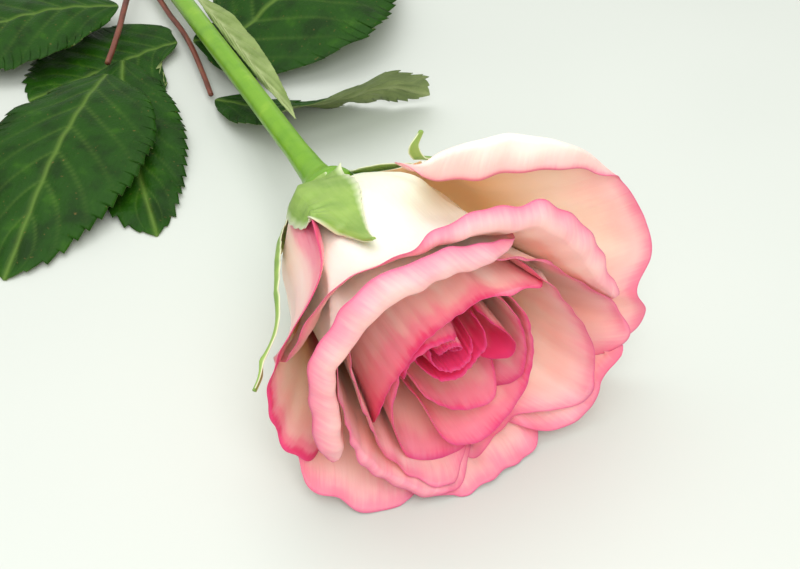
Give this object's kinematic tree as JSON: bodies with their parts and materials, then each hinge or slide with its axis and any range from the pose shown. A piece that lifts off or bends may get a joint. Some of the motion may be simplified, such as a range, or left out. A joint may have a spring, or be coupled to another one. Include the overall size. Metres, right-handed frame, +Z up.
{
  "type": "cut rose",
  "caption": "Cut rose lying on its side: open cream and pink bloom with a green calyx, a smooth green stem, compound leaves and a narrow bract leaf.",
  "frame": {"origin": "middle of the bottom of the box round the whole rose, on the surface it lies on", "axes": "+Y along the stem from the bloom to the cut end, +Z up, +X to the right as the bloom is seen from the front"},
  "size_m": [0.1606, 0.275, 0.067],
  "materials": {
    "petal": "cream at the base, peach in the cup and rose pink to magenta at the margin, soft satin",
    "sepal": "light green with a cream margin, matt",
    "stem": "fresh yellow-green skin, satin",
    "stalk": "red-brown leaf stalk, satin",
    "leaf": "dark green waxy top with pale veins, pale olive underside",
    "bract": "pale olive-green underside, matt"
  },
  "bodies": {
    "root": {"heart_petal_1": "petal", "heart_petal_2": "petal", "heart_petal_3": "petal", "heart_petal_4": "petal", "heart_petal_5": "petal", "inner_petal_1": "petal", "inner_petal_2": "petal", "inner_petal_3": "petal", "inner_petal_4": "petal", "inner_petal_5": "petal", "middle_petal_1": "petal", "middle_petal_2": "petal", "middle_petal_3": "petal", "middle_petal_4": "petal", "middle_petal_5": "petal", "middle_petal_6": "petal", "guard_petal_1": "petal", "guard_petal_2": "petal", "guard_petal_3": "petal", "guard_petal_4": "petal", "guard_petal_5": "petal", "sepal_top": "sepal", "sepal_left": "sepal", "sepal_under": "sepal", "sepal_right": "sepal", "sepal_back": "sepal", "stem": "stem", "leaf_left_stalk": "stalk", "leaf_right_stalk": "stalk", "leaf_left_leaflet_end": "leaf", "leaf_left_leaflet_outer": "leaf", "leaf_left_leaflet_inner": "leaf", "leaf_right_leaflet_inner": "leaf", "leaf_right_leaflet_outer": "leaf", "leaf_right_leaflet_end": "leaf", "bract_leaf": "bract"}
  },
  "joints": []
}
